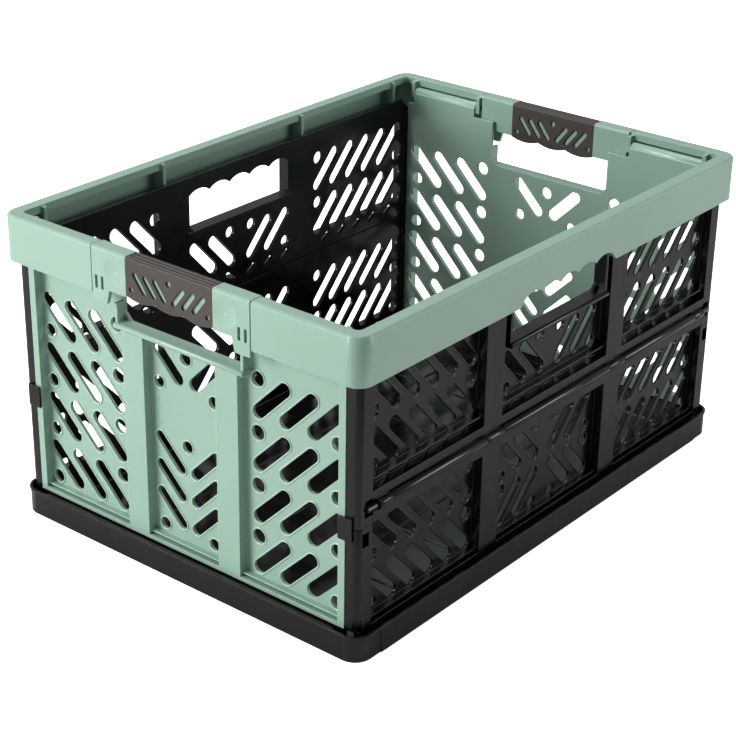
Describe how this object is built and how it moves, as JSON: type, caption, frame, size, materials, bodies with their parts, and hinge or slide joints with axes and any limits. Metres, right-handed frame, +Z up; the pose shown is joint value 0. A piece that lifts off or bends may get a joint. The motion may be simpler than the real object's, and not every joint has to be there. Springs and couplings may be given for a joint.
{
  "type": "collapsible storage crate",
  "caption": "Open-topped folding crate with slotted walls, hinged long sides, swing-in end panels, a rolled rim and soft carrying grips at both ends.",
  "frame": {"origin": "centre of the footprint, on the surface the crate stands on", "axes": "+Z up out of the crate's mouth, X along its length through both handles, Y across it"},
  "size_m": [0.48, 0.345, 0.25],
  "materials": {
    "green_plastic": "moulded polypropylene, soft gloss",
    "black_plastic": "moulded polypropylene, soft gloss",
    "soft_grip": "soft-touch overmould, matt",
    "hinge_rod": "smooth drawn rod"
  },
  "bodies": {
    "crate": {"base_tray": "black_plastic", "floor_grid": "black_plastic", "rim_frame": "green_plastic", "lower_panel_front": "black_plastic", "lower_panel_back": "black_plastic", "upper_panel_front": "black_plastic", "upper_panel_back": "black_plastic", "handle_bridge_left": "green_plastic", "handle_bridge_right": "green_plastic", "handle_grip_left": "soft_grip", "handle_grip_right": "soft_grip", "corner_catches_left": "black_plastic", "corner_catches_right": "black_plastic", "base_hinge_pin_front": "hinge_rod", "base_hinge_pin_back": "hinge_rod", "mid_hinge_rod_front": "hinge_rod", "mid_hinge_rod_back": "hinge_rod", "rim_hinge_pin_front": "hinge_rod", "rim_hinge_pin_back": "hinge_rod", "end_hinge_pins_left": "hinge_rod", "end_hinge_pins_right": "hinge_rod"},
    "end_left": {"end_panel_left": "green_plastic"},
    "end_right": {"end_panel_right": "green_plastic"}
  },
  "joints": [
    {"name": "end_left_swing", "type": "hinge", "parent": "crate", "child": "end_left", "pos_m": [-0.228, 0, 0.238], "axis": [0, -1, 0], "range_deg": [0, 90]},
    {"name": "end_right_swing", "type": "hinge", "parent": "crate", "child": "end_right", "pos_m": [0.228, 0, 0.238], "axis": [0, 1, 0], "range_deg": [0, 90]}
  ]
}
